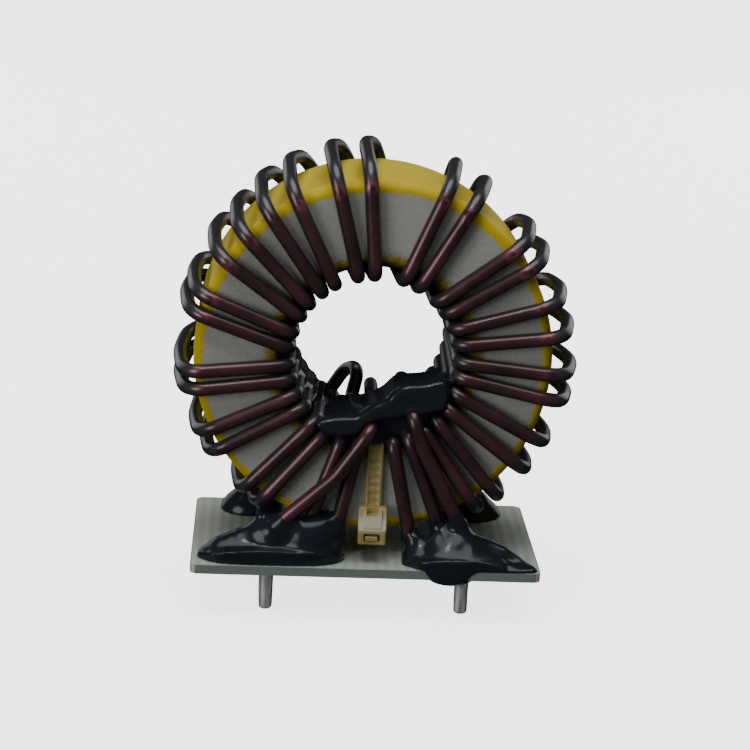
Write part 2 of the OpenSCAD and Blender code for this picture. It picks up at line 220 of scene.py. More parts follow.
def bumps(tree, height, strength, distance):
    node = wired(tree, "ShaderNodeBump", Height=height, Strength=strength, Distance=distance)
    return node.outputs["Normal"]


# %% Darkness behind, and the pale floor
world = bpy.data.worlds.new("tent")
bpy.context.scene.world = world
world.use_nodes = True
tent = world.node_tree
heading = wired(tent, "ShaderNodeSeparateXYZ",
                Vector=tent.nodes.new("ShaderNodeTexCoord").outputs["Generated"])
fill = wired(tent, "ShaderNodeMapRange", Value=heading.outputs["Y"], From_Min=-0.4, From_Max=0.5,
             To_Min=0.15, To_Max=0.02)
feed_all(tent, tent.nodes["Background"], Color=(0.86, 0.92, 1, 1), Strength=fill.outputs["Result"])

pale_floor, floor_tree, floor_shader = new_material("pale_floor")
floor_grain = wired(floor_tree, "ShaderNodeTexNoise", Scale=40.0)
floor_tint = tint(floor_tree, floor_grain.outputs["Fac"], (0.86, 0.86, 0.86), (0.90, 0.90, 0.90))
feed_all(floor_tree, floor_shader, Base_Color=floor_tint, Roughness=0.9,
         Emission_Color=(1, 1, 1, 1), Emission_Strength=2.6)
span = 20000
floor_corners = [(-span, -span, -pin_length), (span, -span, -pin_length),
                 (span, span, -pin_length), (-span, span, -pin_length)]
floor = new_object("floor", floor_corners, [(0, 1, 2, 3)], pale_floor, smooth=False)
floor.visible_glossy = floor.visible_diffuse = False
print("floor lies under the pins at", -pin_length, "mm")

# %% [markdown]
# ## Path of the wire
# A winder lays each line of wire up the front face, over the outside, down the
# rear and back through the bore. A path can be drawn as corners first and then
# rounded with arcs, as the wire rounds the rims of the ring. The corners are
# given as an angle about the ring, a radius, a depth and a bend. No two turns
# lie alike, so short tables say how far each one strays, leans and springs up.

# %% Corners of the winding
lines = 30
first_angle, open_angle = -172.5, 22.5
line_pitch = (360 - open_angle) / (lines - 1)
inner_stray = [0, 0, -0.5, -1.5, -1, -2, -3, -4, -4, -5, -4.5, -6, -6, -7.5, -3, -3.5,
               4.5, 4, 8, 6.5, 6.5, 6, 6, 4.5, 4, 3.5, 2.5, 1.5, 0.5, 0]
outer_lean = [2.5, 0, 5.5, 1.5, 4.5, 1, 4.5, -0.5, 7, 2.5, 3.5, 3.5, 2, 1.5, -1, -2,
              2.5, 0.5, 4.5, 2, 4, 3, 3.5, 1.5, 4, 3, 4, 0.5, 3, 1.5]
loop_spring = [0.65, 0.65, 0.65, 0.5, 0.6, 0.65, 0.75, 0.6, 0.6, 0.55, 0.75, 0.75, 1.15,
               1.35, 1.4, 1.35, 1.1, 1.05, 1, 0.95, 1, 1.1, 1.4, 1.45, 1.2, 1.2, 1.2,
               0.8, 0.65, 0.65]
first_bore_slants, bore_slant = [4.2, 5.8, 6.6, 7.2], 7.5
rim_slant = [4, 4, 2, 1.5, 1.5, 1, 2, 2, 1.2, 1.2, 3.1, 2.6, 4.0, 4.4, 2.8, 3.2, 4.6, 5.4,
             2, 2.2, 1.6, 1.2, 1.2, 2, 2, 2, 2, 2, 4, 3]
crown_shift = {12: -0.6, 13: -1.0, 14: -1.9, 15: -2.4, 16: -0.6}
inner_bend, outer_bend, lead_bend = 1.7, 2.4, 2.0
bore_r2, face_y2 = bore_r - layer, face_y + layer


def inner_angle(n):
    return first_angle + n * line_pitch + inner_stray[n]


def outer_angle(n):
    return inner_angle(n) + outer_lean[n]


def at(angle, r, y, bend):
    a = radians(angle)
    return (r * np.sin(a), y, core_z + r * np.cos(a), bend)


def rear_corner(n):
    slant = first_bore_slants[n] if n < len(first_bore_slants) else bore_slant
    return at(inner_angle(n) - slant, bore_r, face_y, inner_bend)


def turn(n, rear_y=face_y):
    rise = wire_d * loop_spring[n]
    r = rim_r + rise / 4
    start, slant = outer_angle(n), rim_slant[n]
    return [at(inner_angle(n), bore_r, -face_y, inner_bend),
            at(start, r, -face_y, outer_bend),
            at(start + slant / 2 + crown_shift.get(n, 0), rim_r + rise, 0, 4 * outer_bend),
            at(start + slant, r, rear_y, outer_bend)]


def later_turns(strand):
    corners = []
    for n in range(strand + 2, lines, 2):
        corners += [rear_corner(n)] + turn(n, face_y2 if n == lines - 2 else face_y)
    return corners


print("lines of wire on the front face:", lines, "about", round(line_pitch, 2), "degrees apart")

# %% Corners of the four leads
lead_top, lead_end = board_t + lead_bend, -0.3
strap_half = core_height / 2 + strap_width / 2 * np.sin(tie_lean) + strap_gap
strap_pass = strap_half + strap_t + wire_r + 2 * lay
lead_in_a = [(pin_x, pin_y, lead_end, 0), (pin_x, pin_y, lead_top, lead_bend),
             at(157.6, 0.955 * core_r, face_y, lead_bend),
             at(161, 0.82 * core_r, face_y, lead_bend),
             at(166.3, 0.685 * core_r, strap_pass, lead_bend),
             at(first_angle - first_bore_slants[0], bore_r, strap_pass, inner_bend)]
lead_out_a = [at(148, bore_r2 + 0.25, face_y2, inner_bend),
              at(141.6, bore_r2 - 0.35 * wire_d, -face_y2, inner_bend),
              at(148.6, 0.54 * core_r, 0.15 * wire_d - face_y2, 3 * lead_bend),
              at(150.8, rim_r + 0.1 * wire_d, -face_y - 0.2 * wire_d, lead_bend),
              (pin_x, -pin_y, lead_top, lead_bend), (pin_x, -pin_y, lead_end, 0)]
lead_in_b = [(-pin_x, pin_y, lead_end, 0), (-pin_x, pin_y, lead_top, lead_bend),
             (-pin_x + 0.6 * wire_d, face_y2 + lay, lead_top + 2 * wire_d, lead_bend),
             at(-157.8, 0.328 * core_r, face_y2 + lay, lead_bend),
             at(-170, 0.248 * core_r, face_y2 - 1.8 * wire_d, inner_bend),
             at(inner_angle(1) - bore_slant, bore_r - 0.7, face_y - 1.4 * wire_d, inner_bend)]
lead_out_b = [at(173.3, 0.587 * core_r, strap_pass + layer + 2 * lay, 3 * lead_bend),
              at(175, bore_r2, strap_pass + layer, inner_bend),
              at(179.5, bore_r2 - 0.2 * wire_d, -face_y2, inner_bend),
              at(196, 0.68 * core_r, -face_y2, 4 * lead_bend),
              at(208, rim_r + 0.1 * wire_d, -face_y2, lead_bend),
              (-pin_x, -pin_y, lead_top, lead_bend), (-pin_x, -pin_y, lead_end, 0)]
corners_a = lead_in_a + turn(0) + later_turns(0) + lead_out_a
corners_b = lead_in_b + turn(1) + later_turns(1) + lead_out_b
print("corners in strand a and b:", len(corners_a), len(corners_b))

# %% [markdown]
# ## Rounding the corners and drawing the wire
# Each corner gives way to an arc that meets both straights, as a rod bent over
# a finger does. Over the outside the wire springs off the ring, so there the
# path is eased further: it is averaged along its length, and wherever that
# would sink it into the ring it is pushed out again. A curve object with a
# bevel would draw the tube with less code, but in a mesh every ring of points
# lies at an even pitch, and each is turned as little as can be from the last.

# %% Rounded path
def unit(v):
    return v / np.linalg.norm(v)


def evenly(path, step):
    run = np.concatenate([[0], np.cumsum(np.linalg.norm(np.diff(path, axis=0), axis=1))])
    where = np.linspace(0, run[-1], max(2, int(run[-1] / step) + 1))
    return np.stack([np.interp(where, run, path[:, k]) for k in range(3)], axis=1)


path_step, arc_steps = 0.4, 9
barely_bent, longest_cut = 0.03, 0.48


def rounded(corners):
    """Cuts each corner with an arc, on at most longest_cut of either straight."""
    pts = [as_array(c[:3]) for c in corners]
    path = [pts[0]]
    for i in range(1, len(pts) - 1):
        a, b, c, bend = pts[i - 1], pts[i], pts[i + 1], corners[i][3]
        din, dout = unit(b - a), unit(c - b)
        angle = np.arccos(np.clip(din @ dout, -1, 1))
        if angle < barely_bent:
            path.append(b)
            continue
        cut = min(bend * np.tan(angle / 2), longest_cut * np.linalg.norm(b - a),
                  longest_cut * np.linalg.norm(c - b))
        r = cut / np.tan(angle / 2)
        side = unit(dout - (din @ dout) * din)
        for f in np.linspace(0, angle, arc_steps):
            path.append(b - cut * din + r * (np.sin(f) * din + (1 - np.cos(f)) * side))
    path.append(pts[-1])
    return evenly(as_array(path), path_step)


# %% Easing the loops over the outside
core_edge = 1.2
ease_rounds, stiff_rounds = 26, 6
loose_depth, loose_over = 2.5, 1.5
loose_at_first, loose_in_leads, lead_height = 0.12, 0.1, 6.5
longest_push = 0.4


def core_clearance(p):
    """Distance from the ring's rounded section, and the way out of it."""
    r = np.hypot(p[:, 0], p[:, 2] - core_z)
    mid, half = (core_r + bore_wall) / 2, (core_r - bore_wall) / 2
    q = np.stack([r - mid, p[:, 1]], axis=1)
    inner = np.clip(q, [-half + core_edge, -core_height / 2 + core_edge],
                    [half - core_edge, core_height / 2 - core_edge])
    gap = q - inner
    length = np.maximum(np.linalg.norm(gap, axis=1), 1e-6)
    gap /= length[:, None]
    radial = np.stack([p[:, 0] / r, (p[:, 2] - core_z) / r], axis=1)
    out = np.stack([gap[:, 0] * radial[:, 0], gap[:, 1], gap[:, 0] * radial[:, 1]], axis=1)
    return length - core_edge, out


def eased(path):
    """Smooths the loose loops, and a little of the rest in the first rounds."""
    for i in range(ease_rounds):
        r = np.hypot(path[:, 0], path[:, 2] - core_z)
        least = loose_at_first if i < stiff_rounds else 0
        loose = np.clip((r - rim_r + loose_depth) / loose_over, least, 1)[1:-1, None]
        loose = np.where(path[1:-1, 2:3] < lead_height, loose_in_leads, loose)
        mean = 0.25 * path[:-2] + 0.5 * path[1:-1] + 0.25 * path[2:]
        path[1:-1] += loose * (mean - path[1:-1])
        gap, out = core_clearance(path)
        push = np.clip(wire_r + lay - gap, 0, longest_push)
        path[2:-2] += (push[:, None] * out)[2:-2]
    return path


path_a, path_b = eased(rounded(corners_a)), eased(rounded(corners_b))
print("length of strand a and b:", [round(np.linalg.norm(np.diff(p, axis=0), axis=1).sum())
                                    for p in (path_a, path_b)], "mm")

# %% Swept tube
def ring_faces(rows, sides, closed=False, flipped=False):
    """Quads between rows of points laid in rings; an open tube gets a cap at both ends."""
    faces = []
    for i in range(rows if closed else rows - 1):
        here, there = i * sides, (i + 1) % rows * sides
        for j in range(sides):
            k = (j + 1) % sides
            a, b, c, d = here + j, here + k, there + k, there + j
            faces.append((a, d, c, b) if flipped else (a, b, c, d))
    if not closed:
        first, last = range(sides), range((rows - 1) * sides, rows * sides)
        caps = (first, last[::-1]) if flipped else (first[::-1], last)
        faces += [tuple(cap) for cap in caps]
    return faces


def tube_mesh(path, radius, sides):
    tangents = np.gradient(path, axis=0)
    tangents /= np.linalg.norm(tangents, axis=1)[:, None]
    across = unit(np.cross(tangents[0], (0.3, 1, 0.2)))
    turnings = 2 * pi * np.arange(sides) / sides
    rings = []
    for p, t in zip(path, tangents):
        across = unit(across - (across @ t) * t)
        other = np.cross(t, across)
        circle = np.outer(np.cos(turnings), across) + np.outer(np.sin(turnings), other)
        rings.append(p + radius * circle)
    return np.concatenate(rings), ring_faces(len(path), sides)


# %% [markdown]
# ## Enamelled copper
# The enamel is a brown varnish over copper. The crowns of the lines that face out from the faces
# keep the wire's own wine-brown. Near the bends over the outer rim, on the upper turns, redder
# glints are painted in specks: a painted highlight. The sides of the lines, the loops over the
# outside and the runs in the bore are painted charcoal: painted shade. How deep and how far out a
# point lies tells which it is. The base is half metal under a clear coat; slow noise varies the
# colour, and a fine one breaks the highlights.

# %% Places on the ring, for the finishes
def calc(tree, kind, *values):
    """One arithmetic node, fed with numbers or other nodes' outputs."""
    node = tree.nodes.new("ShaderNodeMath")
    node.operation = kind
    for socket, value in zip(node.inputs, values):
        feed(tree, socket, value)
    return node.outputs[0]


def split_place(tree, place):
    return wired(tree, "ShaderNodeSeparateXYZ", Vector=place).outputs


def ring_radius(tree, x, z):
    """How far a point lies from the ring's axis."""
    rise = calc(tree, "SUBTRACT", z, core_z * MM)
    squares = calc(tree, "ADD", calc(tree, "MULTIPLY", x, x), calc(tree, "MULTIPLY", rise, rise))
    return calc(tree, "SQRT", squares)


def blend_of(tree, where, first, second):
    mix = tree.nodes.new("ShaderNodeMix")
    mix.data_type = "RGBA"
    for number, value in ((0, where), (6, first), (7, second)):
        feed(tree, mix.inputs[number], value)
    return mix.outputs[2]


def soft_step(tree, value, start, end):
    node = wired(tree, "ShaderNodeMapRange", Value=value, From_Min=start, From_Max=end)
    node.interpolation_type = "SMOOTHSTEP"
    return node.outputs["Result"]


# %% Enamel
# The charcoal colour below is painted shade. It darkens the enamel on the sides of the lines, over
# the loops and in the bore.
front_crowns, rear_crowns, rear_reach = (-0.0101, -0.0108), (0.0101, 0.0108), (0.0098, 0.0112)
# Painted highlight: near the bends over the outer rim, on the upper turns only, specks of a redder
# brown are painted as glints.
glint_reach, glint_height, glint_specks = (0.0206, 0.0230), (0.022, 0.034), (0.44, 0.66)
charcoal_shade, glint_gain = (0.048, 0.047, 0.051), (2.7, 2.3, 2.3)


def enamel(name, dark, warm):
    material, tree, shader = new_material(name)
    place = object_place(tree)
    x, y, z = split_place(tree, place)
    from_axis = ring_radius(tree, x, z)
    slow, fine = noise(tree, place, 160.0, 3.0), noise(tree, place, 900.0, 4.0)
    # The wire's own brown stays on the crowns that face out from the faces. Everywhere else the
    # enamel gets the painted charcoal shade.
    rear = calc(tree, "MULTIPLY", soft_step(tree, y, *rear_crowns),
                soft_step(tree, from_axis, *rear_reach))
    unshaded_crowns = calc(tree, "MAXIMUM", soft_step(tree, y, *front_crowns), rear)
    # Painted glints: a redder brown in specks near the bends over the outer rim, on the upper
    # turns.
    bend_glints = calc(tree, "MULTIPLY", soft_step(tree, from_axis, *glint_reach),
                 calc(tree, "MULTIPLY", soft_step(tree, fine, *glint_specks),
                      soft_step(tree, z, *glint_height)))
    brown = tint(tree, slow, dark, warm, start=0.35, end=0.7)
    glint_red = tuple(gain * value for gain, value in zip(glint_gain, warm))
    brown_and_glints = blend_of(tree, bend_glints, brown, (*glint_red, 1))
    feed_all(tree, shader, Base_Color=blend_of(tree, unshaded_crowns, (*charcoal_shade, 1), brown_and_glints),
             Roughness=spread(tree, fine, 0.27, 0.42), Normal=bumps(tree, fine, 0.16, 0.00006),
             Metallic=0.5, Coat_Weight=0.22, Coat_Roughness=0.15, Coat_IOR=1.5)
    return material


enamel_a = enamel("enamel_a", (0.034, 0.014, 0.018), (0.092, 0.031, 0.037))
enamel_b = enamel("enamel_b", (0.038, 0.015, 0.019), (0.100, 0.033, 0.039))

# %% Two strands
wire_sides = 20
for name, path, material in (("a", path_a, enamel_a), ("b", path_b, enamel_b)):
    verts, faces = tube_mesh(path, wire_r, wire_sides)
    strand = new_object("winding_" + name, verts, faces, material)
    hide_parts("winding_strand_" + name)
    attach(strand, "root")
    print(strand.name, "rings:", len(path), "faces:", len(strand.data.polygons))

# %% [markdown]
# ## Tinned ends
# Below the board the varnish is stripped and the copper dipped in solder. The
# tin is thicker under the board and runs thin to the rounded tip, it is never
# quite round, and one seam runs down it where it froze last. A tube whose
# radius changes along its length and round it shows all of that.

# %% Tinned pins
def metal_finish():
    material, tree, shader = new_material("tin")
    strokes = wired(tree, "ShaderNodeMapping", Vector=object_place(tree), Scale=(2600, 2600, 260))
    grain = noise(tree, strokes.outputs["Vector"], 1.0, 5.0)
    grey = tint(tree, grain, (0.34, 0.33, 0.30), (0.92, 0.91, 0.86), start=0.36, end=0.66)
    feed_all(tree, shader, Base_Color=grey, Roughness=spread(tree, grain, 0.52, 0.3),
             Normal=bumps(tree, grain, 0.35, 0.0001), Metallic=0.55)
    return material


tin = metal_finish()
pin_sides, shaft_rows, tip_rows = 36, 38, 6
pin_top, tip_length = 0.35, 0.5
tip_top = -pin_length + tip_length
pin_r, pin_taper, taper_from = 1.02, 0.02, 0.4
tip_reach, tip_fullness, tip_least, tip_start = 0.52, 0.6, 0.35, 0.2
oval, lobes = 0.018, 0.012
seam_depth, seam_angle, seam_width = 0.09, 5.1, 0.16
turnings = 2 * pi * np.arange(pin_sides) / pin_sides
heights = np.concatenate([np.linspace(pin_top, tip_top, shaft_rows),
                          tip_top - tip_length * np.sin(np.linspace(tip_start, pi / 2, tip_rows))])


def pin_ring(side, depth, z):
    """One ring of a pin, never quite round, with the seam where the tin froze."""
    r = pin_r - pin_taper * (taper_from - z)
    if z < tip_top:
        share = np.sqrt(max(0, 1 - ((tip_top - z) / tip_reach) ** 2))
        r *= max(tip_least, share ** tip_fullness)
    wave = (oval * np.sin(2 * turnings + z + side)
            + lobes * np.sin(3 * turnings - 1.7 * z + depth))
    seam = -seam_depth * np.exp(-((turnings - seam_angle - 0.03 * z) / seam_width) ** 2)
    ring = r + wave + seam
    return [(side * pin_x + q * np.cos(t), depth * pin_y + q * np.sin(t), z)
            for q, t in zip(ring, turnings)]


pin_faces = ring_faces(len(heights), pin_sides, flipped=True)
for side, depth, label, strand in ((1, 1, "rear_right", "a"), (1, -1, "front_right", "a"),
                                   (-1, 1, "rear_left", "b"), (-1, -1, "front_left", "b")):
    verts = [point for z in heights for point in pin_ring(side, depth, z)]
    pin = new_object("tinned_end_" + label, verts, pin_faces, tin)
    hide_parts("winding_strand_" + strand)
    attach(pin, "root")
print("tinned ends reach", -pin_length, "mm below the board's underside")

# %% [markdown]
# ## Core finish
# The ring keeps its solid. It is pressed powder with a baked-on paint. The outside is yellow,
# painted paler than on the faces as a painted sheen. The faces are pale grey, and a stronger
# yellow laps over both rims of each face with a fuzzy, speckled edge. Towards the bore the paint
# is darkened: painted shade. Where a point lies is worked out from its coordinates: the distance
# from the axis tells the bands.

# %% Core finish
band_edge, band_outwards, face_depth = (0.00390, 0.00430), 0.0002, (0.00898, 0.00890)
# Painted shade: towards the bore the paint is darkened to a near-black brown.
wall_depth, bore_shade_edge = (0.0086, 0.0080), (0.0123, 0.0150)
# Painted sheen: the round walls get a paler yellow than the bands on the faces.
wall_sheen_yellow, bore_shade_colour = (0.58, 0.44, 0.034, 1), (0.035, 0.030, 0.016, 1)


def swing(tree, value, width):
    """Makes a noise of mean one half swing by width about nothing."""
    return calc(tree, "MULTIPLY", calc(tree, "SUBTRACT", value, 0.5), width)


def core_finish():
    material, tree, shader = new_material("core_paint")
    place = object_place(tree)
    x, y, z = split_place(tree, place)
    from_axis, depth = ring_radius(tree, x, z), calc(tree, "ABSOLUTE", y)
    fuzz = noise(tree, place, 2200.0, 6.0, Roughness=0.75)
    slow, speck = noise(tree, place, 130.0, 2.0), noise(tree, place, 2600.0, 3.0)
    stray = calc(tree, "ADD", swing(tree, fuzz, 0.0028), swing(tree, slow, 0.0012))
    edge = calc(tree, "ADD", from_axis, stray)
    band_middle = (core_r + bore_wall) / 2 * MM + band_outwards
    off_middle = calc(tree, "ABSOLUTE", calc(tree, "SUBTRACT", edge, band_middle))
    yellow_where = calc(tree, "MAXIMUM", soft_step(tree, off_middle, *band_edge),
                        soft_step(tree, depth, *face_depth))
    grey = tint(tree, speck, (0.302, 0.302, 0.274), (0.340, 0.340, 0.309), start=0.3, end=0.62)
    yellow = tint(tree, slow, (0.40, 0.290, 0.004), (0.53, 0.400, 0.010), start=0.3, end=0.7)
    # Painted sheen: a paler yellow on the round walls, away from the faces.
    wall_sheen = soft_step(tree, calc(tree, "ADD", depth, stray), *wall_depth)
    yellow = blend_of(tree, wall_sheen, yellow, wall_sheen_yellow)
    painted = blend_of(tree, yellow_where, grey, yellow)
    # Painted shade: the paint goes dark towards the bore.
    clear_of_bore_shade = soft_step(tree, edge, *bore_shade_edge)
    feed_all(tree, shader, Base_Color=blend_of(tree, clear_of_bore_shade, bore_shade_colour, painted),
             Roughness=0.62, Specular_IOR_Level=0.18, Normal=bumps(tree, fuzz, 0.3, 0.0002))
    return material


def dress(node_name, material):
    obj = next(o for o in bpy.data.objects
               if o.type == "MESH" and o.name.split(".")[0] == node_name)
    for slot in obj.material_slots:
        slot.material = material
    print(node_name, "slots dressed:", len(obj.material_slots))


dress("core", core_finish())

# %% [markdown]
# ## Board finish
# Glass cloth in epoxy: a translucent grey-green with the warp of the cloth
# showing as fine upright stripes, and a darker, greener sawn edge. Two wave
# textures at the pitch of the cloth, bent a little by noise, draw the weave, and
# the distance from the middle tells where the sawn edge begins.

# %% Board finish
warp_scale, weft_scale, weft_share = 230.0, 300.0, 0.3
sawn_sides, sawn_front = (0.02285, 0.02295), (0.01385, 0.01395)
sawn_green = (0.150, 0.178, 0.165, 1)


def weave(tree, place, direction, scale):
    node = wired(tree, "ShaderNodeTexWave", Vector=place, Scale=scale, Distortion=1.2,
                 Detail=2.0, Detail_Scale=3.0)
    node.bands_direction = direction
    return node.outputs["Fac"]


def board_finish():
    material, tree, shader = new_material("board_epoxy")
    place = object_place(tree)
    x, y, _ = split_place(tree, place)
    cloth = tree.nodes.new("ShaderNodeMix")
    cloth.data_type = "FLOAT"
    warp, weft = weave(tree, place, "X", warp_scale), weave(tree, place, "Y", weft_scale)
    for number, value in ((0, weft_share), (2, warp), (3, weft)):
        feed(tree, cloth.inputs[number], value)
    cloth = cloth.outputs[0]
    green = tint(tree, cloth, (0.345, 0.375, 0.325), (0.445, 0.480, 0.420), start=0.1, end=0.9)
    sawn = calc(tree, "MAXIMUM",
                soft_step(tree, calc(tree, "ABSOLUTE", y), *sawn_front),
                soft_step(tree, calc(tree, "ABSOLUTE", x), *sawn_sides))
    feed_all(tree, shader, Base_Color=blend_of(tree, sawn, green, sawn_green),
             Roughness=0.42, Normal=bumps(tree, cloth, 0.15, 0.0001),
             Subsurface_Weight=0.15, Subsurface_Radius=(0.001, 0.0012, 0.001))
    return material


dress("base_board", board_finish())

# %% [markdown]
# ## Cable tie
# The tie is moulded from natural nylon, milky and yellowed by age. Its strap has a rail along both
# edges and a ladder of shallow rungs between them, and its head a sloping mouth above a small
# window. The strap is a band swept round the section of the ring, with the rungs pressed into the
# mesh row by row. Light goes into nylon and comes out beside, so the finish needs subsurface. The
# upper part of the head is painted a paler, whiter colour than the rest: painted light on its top.

# %% Nylon finish
# Painted light: the upper front of the tie head gets a whiter colour.
head_light_depth, head_light_height, head_light_white = (0.0108, 0.0118), (0.0052, 0.0064), (0.43, 0.40, 0.29, 1)


def nylon_finish():
    material, tree, shader = new_material("nylon")
    place = object_place(tree)
    _, y, z = split_place(tree, place)
    cloud = noise(tree, place, 450.0, 3.0)
    cream = tint(tree, cloud, (0.262, 0.206, 0.056), (0.345, 0.288, 0.106), start=0.3, end=0.7)
    # Painted light: the upper part of the head, in front of the face, is made whiter.
    head_top_light = calc(tree, "MULTIPLY", soft_step(tree, calc(tree, "ABSOLUTE", y), *head_light_depth),
                 soft_step(tree, z, *head_light_height))
    feed_all(tree, shader, Base_Color=blend_of(tree, head_top_light, cream, head_light_white),
             Roughness=0.42, Normal=bumps(tree, cloud, 0.15, 0.0002),
             Subsurface_Weight=0.6, Subsurface_Radius=(0.0012, 0.0009, 0.0004))
    return material


nylon = nylon_finish()
tie_x = 1.15


def tie_place(points):
    """From the tie's own axes, x across the strap, to the part's."""
    p = as_array(points)
    c, n = np.cos(-tie_lean), np.sin(-tie_lean)
    return np.stack([tie_x + c * p[:, 0] - n * p[:, 1], n * p[:, 0] + c * p[:, 1], p[:, 2]],
                    axis=1)


# %% Course of the strap
reach = tie_x + strap_width / 2 + core_height / 2 * np.tan(tie_lean)
strap_top = core_z - np.sqrt(bore_wall ** 2 - reach ** 2) + strap_gap + strap_t / 2
strap_bottom = core_z - core_r - strap_gap - strap_t / 2
strap_y = strap_half + strap_t / 2
corner_bend, corner_steps, row_pitch = 1.9, 12, 0.14
walk = []
for y_sign, z, start in ((-1, strap_bottom + corner_bend, 270), (-1, strap_top - corner_bend, 180),
                         (1, strap_top - corner_bend, 90), (1, strap_bottom + corner_bend, 0)):
    y = y_sign * (strap_y - corner_bend)
    for f in np.linspace(0, 90, corner_steps):
        a = radians(start - f)
        walk.append((0, y + corner_bend * np.cos(a), z + corner_bend * np.sin(a)))
walk.append(walk[0])
track = evenly(as_array(walk), row_pitch)[:-1]
ahead = np.roll(track, -1, axis=0) - np.roll(track, 1, axis=0)
ahead /= np.linalg.norm(ahead, axis=1)[:, None]
outward = np.stack([0 * ahead[:, 0], -ahead[:, 2], ahead[:, 1]], axis=1)
print("strap is", round(len(track) * row_pitch, 1), "mm round")

# %% Strap
rail_inside, bevel_from, bevelled_half = 0.65, 0.96, 0.36
rung_pitch, ladder_depth, rung_depth = 1.1, 0.04, 0.09
across_steps = np.array([-1, -0.97, -0.9, -0.66, -0.62, -0.3, 0,
                         0.3, 0.62, 0.66, 0.9, 0.97, 1])
section = [(u * strap_width / 2, side * (0.5 if abs(u) < bevel_from else bevelled_half) * strap_t)
           for side in (1, -1) for u in across_steps[::side]]
rows = []
for k, (p, o) in enumerate(zip(track, outward)):
    groove = 0.5 + 0.5 * np.tanh(4 * np.sin(2 * pi * k * row_pitch / rung_pitch))
    row = []
    for u, h in section:
        if h > 0 and abs(u) < rail_inside * strap_width / 2:
            h -= ladder_depth + rung_depth * groove
        row.append(p + np.array([u, 0, 0]) + h * o)
    rows.append(row)
strap_faces = ring_faces(len(rows), len(section), closed=True)
strap = new_object("tie_strap", tie_place(np.concatenate(rows)), strap_faces, nylon)
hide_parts("cable_tie")
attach(strap, "root")
print("strap rows:", len(rows), "faces:", len(strap_faces))

# %% [markdown]
# ## Shapes drawn as fields
# A moulded block with a window, or a lump that sags and flows, can be drawn as
# a field: a number at every point that is negative inside. Blobs and rods are
# blended so that they flow into each other, boxes are added and cut away, and a
# net is laid over the zero level. Metaballs do much the same, but a field of
# one's own can be cut by the board and the ring, and keeps its corners where
# the lump meets them.

# %% Blobs, rods and blending
def blob(p, centre, radii):
    q = (p - centre) / radii
    k = np.linalg.norm(q, axis=-1)
    slope = np.linalg.norm(q / radii, axis=-1)
    return k * (k - 1) / np.maximum(slope, 1e-6)


def rod(p, points):
    """Distance to a chain of points (x, y, z, radius), thick or thin by turns."""
    best = None
    for a, b in zip(points[:-1], points[1:]):
        a, b = as_array(a), as_array(b)
        along = b[:3] - a[:3]
        t = np.clip((p - a[:3]) @ along / (along @ along), 0, 1)
        gap = np.linalg.norm(p - a[:3] - t[..., None] * along, axis=-1)
        gap = gap - (a[3] + t * (b[3] - a[3]))
        best = gap if best is None else np.minimum(best, gap)
    return best


def flow(a, b, width):
    h = np.maximum(width - np.abs(a - b), 0) / width
    return np.minimum(a, b) - h * h * width / 4


def flowed(parts, width):
    """Joins shapes that flow into each other wherever they lie within the width."""
    total = parts[0]
    for part in parts[1:]:
        total = flow(total, part, width)
    return total


# %% Net over the zero level
outside = 0.05  # the least value of the outermost points, so that the net is closed


def net(field, low, high, cell):
    """One point in each cell that the surface crosses, one quad on each edge it crosses."""
    axes = [np.arange(l, h + cell, cell) for l, h in zip(low, high)]
    grid = np.stack(np.meshgrid(*axes, indexing="ij"), axis=-1)
    value = field(grid)
    for axis in range(3):
        ends = [slice(None)] * 3
        for end in (0, -1):
            ends[axis] = end
            value[tuple(ends)] = np.maximum(value[tuple(ends)], outside)
    cells = tuple(n - 1 for n in value.shape)
    total, count = np.zeros(cells + (3,)), np.zeros(cells)
    corners = [(i, j, k) for i in (0, 1) for j in (0, 1) for k in (0, 1)]

    def at_corner(corner):
        return tuple(slice(o, o + n) for o, n in zip(corner, cells))

    for a in corners:
        for axis in range(3):
            if a[axis]:
                continue
            b = tuple(1 if k == axis else a[k] for k in range(3))
            va, vb = value[at_corner(a)], value[at_corner(b)]
            cross = (va < 0) != (vb < 0)
            t = np.where(cross, va / np.where(cross, va - vb, 1), 0)
            start, end = grid[at_corner(a)], grid[at_corner(b)]
            point = start + t[..., None] * (end - start)
            total += np.where(cross[..., None], point, 0)
            count += cross
    used = count > 0
    number = np.full(cells, -1)
    number[used] = np.arange(used.sum())
    verts = total[used] / count[used][:, None]
    faces = []
    for axis in range(3):
        u, v = [(1, 2), (2, 0), (0, 1)][axis]
        va = value.take(range(value.shape[axis] - 1), axis)
        vb = value.take(range(1, value.shape[axis]), axis)
        cross = (va < 0) != (vb < 0)
        inner = [slice(None)] * 3
        inner[u], inner[v] = slice(1, -1), slice(1, -1)
        where = np.argwhere(cross[tuple(inner)])
        where[:, [u, v]] += 1
        out_way = (va < 0)[tuple(where.T)]
        quad = []
        for du, dv in ((-1, -1), (0, -1), (0, 0), (-1, 0)):
            c = where.copy()
            c[:, u] += du
            c[:, v] += dv
            quad.append(number[tuple(c.T)])
        quad = np.stack(quad, axis=1)
        quad[~out_way] = quad[~out_way][:, ::-1]
        faces.append(quad)
    return verts, np.concatenate(faces)


# %% [markdown]
# ## Head of the tie
# The head is a rounded block with a shelf: above it the front leans back to the
# mouth where the tail goes in, with a cheek left standing in the middle. Below
# it a small window shows the tail, cut off short.

# %% Head of the tie
head_w, head_h, head_d = 3.7, 4.7, 2.2
head_top = core_z - core_r + 0.78 * head_h
head_front = -strap_half - strap_t - head_d
head_foot = head_top - head_h
shelf_z = head_foot + 0.5 * head_h
head_cell = 0.085


def block(p, low, high, round_by):
    low, high = as_array(low), as_array(high)
    q = np.abs(p - (low + high) / 2) - (high - low) / 2 + round_by
    return np.linalg.norm(np.maximum(q, 0), axis=-1) + np.minimum(q.max(axis=-1), 0) - round_by


def leaning(p, slope, inset):
    """Positive in front of a wall that leans back as it rises from the shelf."""
    behind = p[..., 1] - head_front - inset
    return (p[..., 2] - shelf_z) * slope - behind


